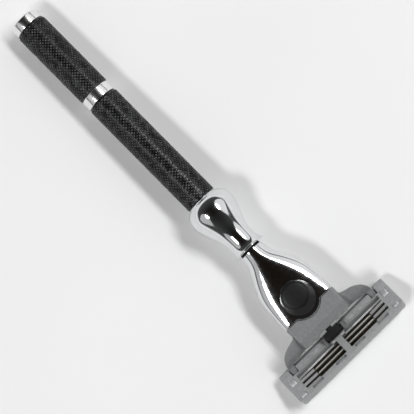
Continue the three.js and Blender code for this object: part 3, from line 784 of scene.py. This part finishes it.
def blade_units():
    for k in (1, 2, 3):
        body = f"blade_unit_{k}"
        support, blade = f"blade_support_{k}", f"blade_{k}"
        bm = edges_rounded(copy_of(support, CARTRIDGE), 0.06)
        low, high = span(support, CARTRIDGE)
        weld_dots(bm, low.x + 0.62, high.y - 1, low.z + 0.47)
        mesh = mesh_of(bm)
        # Painted highlight: 1 at the top edge of the legs, fading to 0 at three fifths of the height; below that
        # the steel takes the brown painted shade.
        painted_highlight = [max(0.0, (v.co.z - low.z) / (high.z - low.z) * 2.5 - 1.5) for v in mesh.vertices]
        mesh.attributes.new("painted_highlight", "FLOAT", "POINT").data.foreach_set("value", painted_highlight)
        add_piece(support + "_bent", mesh, CARTRIDGE, body, "support_steel", support)
        mesh = mesh_of(edges_rounded(copy_of(blade, CARTRIDGE), 0.02, 1))
        add_piece(blade + "_ground", mesh, CARTRIDGE, body, "blade_steel", blade)


def weld_dots(bm, x, half, z):
    """A row of laser weld marks on the shelf that carries the blade."""
    pitch, radius, flattened = 1.7, 0.2, 0.35
    count = int(2 * half / pitch)
    for i in range(count + 1):
        y = (i - count / 2) * pitch
        made = bmesh.ops.create_uvsphere(bm, u_segments=12, v_segments=6, radius=radius)
        bmesh.ops.scale(bm, vec=(1, 1, flattened), verts=made["verts"])
        bmesh.ops.translate(bm, vec=(x, y, z), verts=made["verts"])


def cartridge_trim():
    for node, slot, width in (
        ("end_clip_left", "clip_aluminium", 0.1),
        ("end_clip_right", "clip_aluminium", 0.1),
        ("lubricating_strip", "strip_polymer", 0.08),
        ("guard_fins", "fin_rubber", 0.05),
    ):
        mesh = mesh_of(edges_rounded(copy_of(node, CARTRIDGE), width))
        add_piece(node + "_finished", mesh, CARTRIDGE, "cartridge", slot, node)


# ---- Studio ----


def camera():
    """A long lens above the razor, turned so that the handle runs down to the right.

    eye and aim are in HANDLE's millimetres.
    """
    eye, aim = Vector((137.78, 15.64, 529.63)), Vector((77.55, -0.29, 0))
    handle_slope = math.radians(45.31)
    lens, sensor = 160.15, 36
    forward = (aim - eye).normalized()
    along = Vector((1, 0, 0))
    along = (along - along.dot(forward) * forward).normalized()
    right = Matrix.Rotation(-handle_slope, 3, forward) @ along
    up = right.cross(forward)
    turn = Matrix((right, up, -forward)).transposed().to_4x4()
    data = bpy.data.cameras.new("camera")
    data.lens, data.sensor_width = lens, sensor
    data.clip_start, data.clip_end = 0.01, 20
    made = bpy.data.objects.new("camera", data)
    place = HANDLE @ Matrix.Translation(eye) @ turn
    made.matrix_world = Matrix.LocRotScale(place.to_translation(), place.to_quaternion(), None)
    bpy.context.scene.collection.objects.link(made)
    bpy.context.scene.camera = made


def floor():
    half_metres = 4
    bm = bmesh.new()
    bmesh.ops.create_grid(bm, x_segments=8, y_segments=8, size=half_metres)
    made = bpy.data.objects.new("floor", mesh_of(bm, "floor"))
    bpy.context.scene.collection.objects.link(made)
    paper = Finish("floor_paper")
    paper.colour(paper.noise(0.01, 2), grey(0.93), grey(0.96))
    paper.gloss(paper.noise(0.02), 0.9, 1.0)
    made.data.materials.append(paper.material)


def softbox(name, side, tilt, distance, size, power, ahead=0.0):
    """An oval light over one side of the razor, facing it. tilt is from straight above, size in metres."""
    data = bpy.data.lights.new(name, "AREA")
    data.shape = "ELLIPSE"
    data.size, data.size_y = size
    data.energy = power
    made = bpy.data.objects.new(name, data)
    direction = Vector((ahead, side * math.sin(tilt), math.cos(tilt))).normalized()
    made.location = direction * distance
    made.rotation_mode = "QUATERNION"
    made.rotation_quaternion = direction.to_track_quat("Z", "X")
    bpy.context.scene.collection.objects.link(made)


def studio_light():
    near, far = math.radians(33), math.radians(50)
    softbox("key_left", -1, near, 1.5, (0.24, 0.6), 8, 0.05)
    softbox("key_right", 1, near, 1.5, (0.24, 0.9), 11, 0.05)
    softbox("fill_left", -1, far, 1.6, (1.1, 1.8), 2.4)
    softbox("fill_right", 1, far, 1.6, (1.35, 2.0), 5.6)
    world = bpy.data.worlds.new("studio")
    bpy.context.scene.world = world
    world.use_nodes = True
    nodes, links = world.node_tree.nodes, world.node_tree.links
    direction = nodes.new("ShaderNodeTexCoord")
    height = nodes.new("ShaderNodeSeparateXYZ")
    ramp = nodes.new("ShaderNodeValToRGB")
    links.new(direction.outputs["Generated"], height.inputs["Vector"])
    links.new(height.outputs["Z"], ramp.inputs["Fac"])
    links.new(ramp.outputs["Color"], nodes["Background"].inputs["Color"])
    stops = ramp.color_ramp.elements
    stops[0].position, stops[0].color = 0.0, (1, 1, 1, 1)
    stops[1].position, stops[1].color = 1.0, (0.009, 0.006, 0.004, 1)
    for place, value in ((0.14, 0.95), (0.26, 0.07), (0.6, 0.05), (0.85, 0.02)):
        stop = stops.new(place)
        stop.color = (value, value, value, 1)


end_cap()
knurled_grip("rear_grip")
middle_ring()
knurled_grip("front_grip")
ferrule()
plain_inner_pieces()
springs()
head_shell()
release_button()
yoke()
housing()
blade_units()
cartridge_trim()
camera()
floor()
studio_light()
bpy.context.scene.view_settings.view_transform = "Standard"
